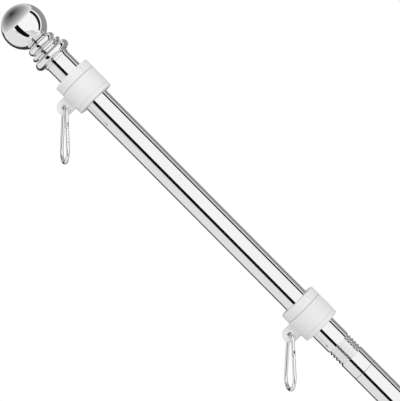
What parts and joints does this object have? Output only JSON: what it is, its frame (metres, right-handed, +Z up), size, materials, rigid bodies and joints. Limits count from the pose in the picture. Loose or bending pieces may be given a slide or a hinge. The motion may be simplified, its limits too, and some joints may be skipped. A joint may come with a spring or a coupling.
{
  "type": "wall-mounted flagpole",
  "caption": "Sectional polished steel flagpole with ball finial and turning clip rings, clamped in a two-position cast wall bracket.",
  "frame": {"origin": "centre of the bracket flange's back face, on the wall", "axes": "+Z up the wall, +X into the wall, so the pole leaves the wall towards -X and +Z at 45 degrees"},
  "size_m": [1.2169, 0.08, 1.2639],
  "materials": {
    "polished_steel": "polished stainless steel tube",
    "chromed_steel": "chrome plated",
    "white_plastic": "satin white moulded plastic",
    "plated_steel": "bright nickel plated steel",
    "bearing_steel": "polished bearing steel",
    "cast_aluminium": "tumbled die cast aluminium",
    "insert_aluminium": "turned aluminium",
    "black_plastic": "moulded plastic"
  },
  "bodies": {
    "bracket": {"bracket_casting": "cast_aluminium"},
    "pole": {"section_1_tube": "polished_steel", "section_2_tube": "polished_steel", "section_3_tube": "polished_steel", "section_4_tube": "polished_steel", "joint_1_stud_plug": "insert_aluminium", "joint_2_stud_plug": "insert_aluminium", "joint_3_stud_plug": "insert_aluminium", "joint_1_socket_plug": "insert_aluminium", "joint_2_socket_plug": "insert_aluminium", "joint_3_socket_plug": "insert_aluminium", "finial_socket_plug": "insert_aluminium", "finial_neck": "chromed_steel", "finial_ball": "chromed_steel", "butt_plug": "black_plastic", "ring_1_collar": "white_plastic", "ring_1_balls": "bearing_steel", "ring_1_set_screw": "plated_steel", "ring_2_collar": "white_plastic", "ring_2_balls": "bearing_steel", "ring_2_set_screw": "plated_steel"},
    "ring_1": {"ring_1_body": "white_plastic"},
    "clip_1": {"clip_1_body": "plated_steel", "clip_1_pin": "plated_steel"},
    "gate_1": {"clip_1_gate": "plated_steel"},
    "ring_2": {"ring_2_body": "white_plastic"},
    "clip_2": {"clip_2_body": "plated_steel", "clip_2_pin": "plated_steel"},
    "gate_2": {"clip_2_gate": "plated_steel"},
    "wing_bolt_upper": {"wing_bolt_upper": "plated_steel"},
    "wing_bolt_foot": {"wing_bolt_foot": "plated_steel"},
    "wing_bolt_collar": {"wing_bolt_collar": "plated_steel"}
  },
  "joints": [
    {"name": "pole_in_socket", "type": "slide", "parent": "bracket", "child": "pole", "axis": [-0.7071, 0, 0.7071], "range_m": [0, 0.09]},
    {"name": "ring_1_turn", "type": "hinge", "parent": "pole", "child": "ring_1", "pos_m": [-1.13844, 0, 1.12044], "axis": [-0.7071, 0, 0.7071], "continuous": true},
    {"name": "clip_1_swing", "type": "hinge", "parent": "ring_1", "child": "clip_1", "pos_m": [-1.1569, 0, 1.10199], "axis": [0, 1, 0], "range_deg": [-30, 60]},
    {"name": "clip_1_gate_hinge", "type": "hinge", "parent": "clip_1", "child": "gate_1", "pos_m": [-1.15427, -0.00764, 1.08364], "axis": [0.9455, 0.3256, 0], "range_deg": [0, 22], "stiffness_Nm_per_rad": 0.1},
    {"name": "ring_2_turn", "type": "hinge", "parent": "pole", "child": "ring_2", "pos_m": [-0.92744, 0, 0.90944], "axis": [-0.7071, 0, 0.7071], "continuous": true},
    {"name": "clip_2_swing", "type": "hinge", "parent": "ring_2", "child": "clip_2", "pos_m": [-0.9459, 0, 0.89099], "axis": [0, 1, 0], "range_deg": [-30, 60]},
    {"name": "clip_2_gate_hinge", "type": "hinge", "parent": "clip_2", "child": "gate_2", "pos_m": [-0.94327, -0.00764, 0.87264], "axis": [0.9455, 0.3256, 0], "range_deg": [0, 22], "stiffness_Nm_per_rad": 0.1},
    {"name": "wing_bolt_upper_turn", "type": "hinge", "parent": "bracket", "child": "wing_bolt_upper", "pos_m": [-0.07, 0.02, 0.052], "axis": [0, 1, 0], "continuous": true},
    {"name": "wing_bolt_foot_turn", "type": "hinge", "parent": "bracket", "child": "wing_bolt_foot", "pos_m": [-0.02157, 0.02, 0.00357], "axis": [0, 1, 0], "continuous": true},
    {"name": "wing_bolt_collar_turn", "type": "hinge", "parent": "bracket", "child": "wing_bolt_collar", "pos_m": [-0.073, 0.02, -0.018], "axis": [0, 1, 0], "continuous": true}
  ]
}
